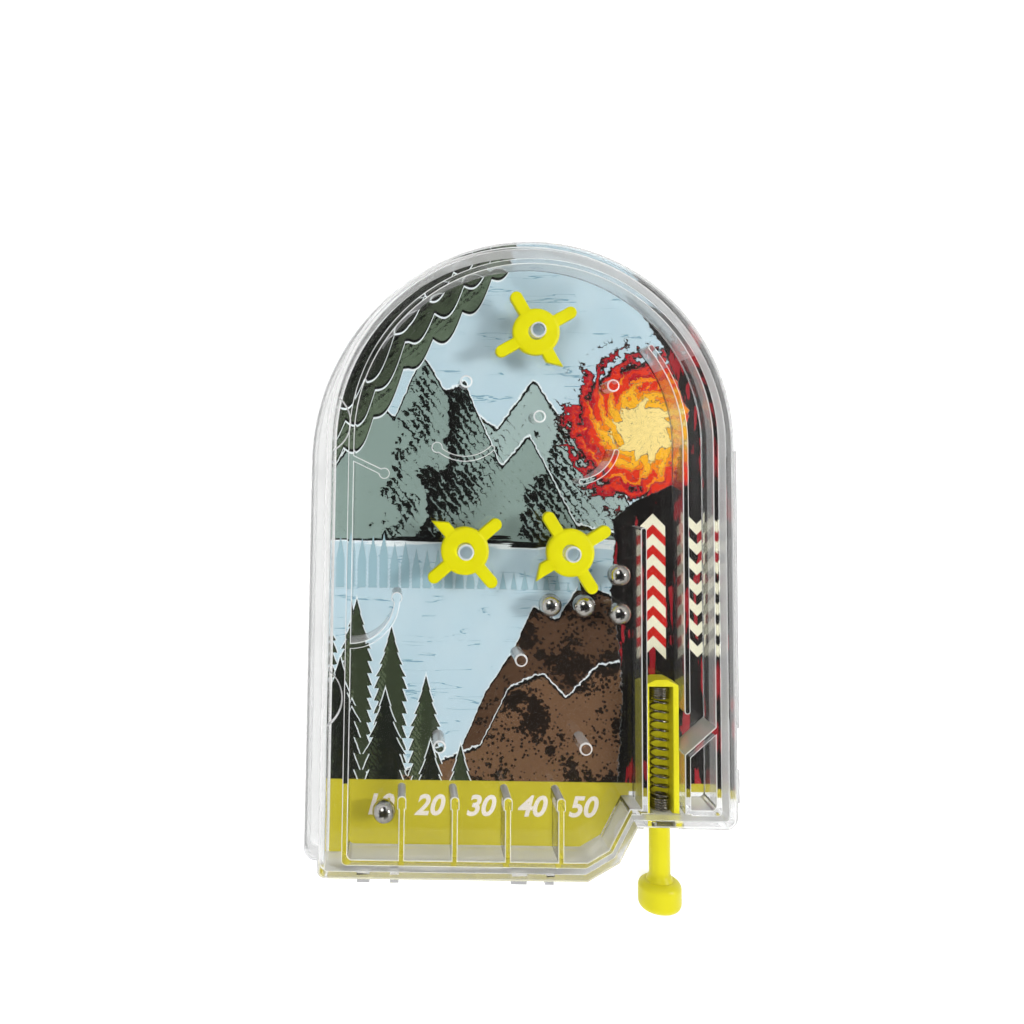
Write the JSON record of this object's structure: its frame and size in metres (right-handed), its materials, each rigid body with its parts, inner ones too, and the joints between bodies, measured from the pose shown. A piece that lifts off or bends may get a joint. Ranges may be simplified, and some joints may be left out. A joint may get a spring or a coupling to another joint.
{
  "type": "handheld pinball game",
  "caption": "Handheld pinball game: an arched clear case with rails, pegs and score slots over a printed card, free spinners, loose steel balls and a sprung pull plunger.",
  "frame": {"origin": "middle of the tray's flat back, on the table", "axes": "+Z out of the playfield towards the player, +Y from the score slots to the arch, +X towards the plunger's side"},
  "size_m": [0.0891, 0.1368, 0.013],
  "materials": {
    "clear_plastic": "clear moulded polystyrene",
    "printed_card": "printed card",
    "yellow_plastic": "lemon-yellow moulded plastic",
    "spring_wire": "drawn spring wire",
    "steel": "polished steel"
  },
  "bodies": {
    "case": {"rear_case": "clear_plastic", "print_card": "printed_card", "playfield_plate": "clear_plastic", "rim_rail": "clear_plastic", "lane_rail": "clear_plastic", "return_rail": "clear_plastic", "return_ramp": "clear_plastic", "slot_divider_1": "clear_plastic", "slot_divider_2": "clear_plastic", "slot_divider_3": "clear_plastic", "slot_divider_4": "clear_plastic", "peg_1": "clear_plastic", "peg_2": "clear_plastic", "peg_3": "clear_plastic", "peg_4": "clear_plastic", "peg_5": "clear_plastic", "peg_6": "clear_plastic", "cup_guide": "clear_plastic", "curl_guide": "clear_plastic", "bow_guide": "clear_plastic", "spur_guide": "clear_plastic", "pin_1": "clear_plastic", "pin_2": "clear_plastic", "pin_3": "clear_plastic", "front_cover": "clear_plastic", "spring_stop": "clear_plastic", "spring": "spring_wire"},
    "spinner_a": {"spinner_1": "yellow_plastic"},
    "spinner_b": {"spinner_2": "yellow_plastic"},
    "spinner_c": {"spinner_3": "yellow_plastic"},
    "plunger": {"plunger": "yellow_plastic"},
    "ball_a": {"ball_1": "steel"},
    "ball_b": {"ball_2": "steel"},
    "ball_c": {"ball_3": "steel"},
    "ball_d": {"ball_4": "steel"},
    "ball_e": {"ball_5": "steel"}
  },
  "joints": [
    {"name": "spinner_a_turn", "type": "hinge", "parent": "case", "child": "spinner_a", "pos_m": [0.0025, 0.0461, 0.0064], "axis": [0, 0, 1], "continuous": true},
    {"name": "spinner_b_turn", "type": "hinge", "parent": "case", "child": "spinner_b", "pos_m": [-0.012, 0.0005, 0.0064], "axis": [0, 0, 1], "continuous": true},
    {"name": "spinner_c_turn", "type": "hinge", "parent": "case", "child": "spinner_c", "pos_m": [0.0097, 0.0004, 0.0064], "axis": [0, 0, 1], "continuous": true},
    {"name": "plunger_pull", "type": "slide", "parent": "case", "child": "plunger", "axis": [0, -1, 0], "range_m": [0, 0.014], "stiffness_N_per_m": 60, "springref_m": -0.006, "deforming": ["spring"]},
    {"name": "ball_a_roll", "type": "slide", "parent": "case", "child": "ball_a", "axis": [0, 1, 0], "range_m": [-0.003, 0]},
    {"name": "ball_b_roll", "type": "slide", "parent": "case", "child": "ball_b", "axis": [0, 1, 0], "range_m": [-0.033, 0]},
    {"name": "ball_c_roll", "type": "slide", "parent": "case", "child": "ball_c", "axis": [0, 1, 0], "range_m": [-0.023, 0]},
    {"name": "ball_d_roll", "type": "slide", "parent": "case", "child": "ball_d", "axis": [0, 1, 0], "range_m": [-0.03, 0]},
    {"name": "ball_e_roll", "type": "slide", "parent": "case", "child": "ball_e", "axis": [0, 1, 0], "range_m": [-0.005, 0.03]}
  ]
}
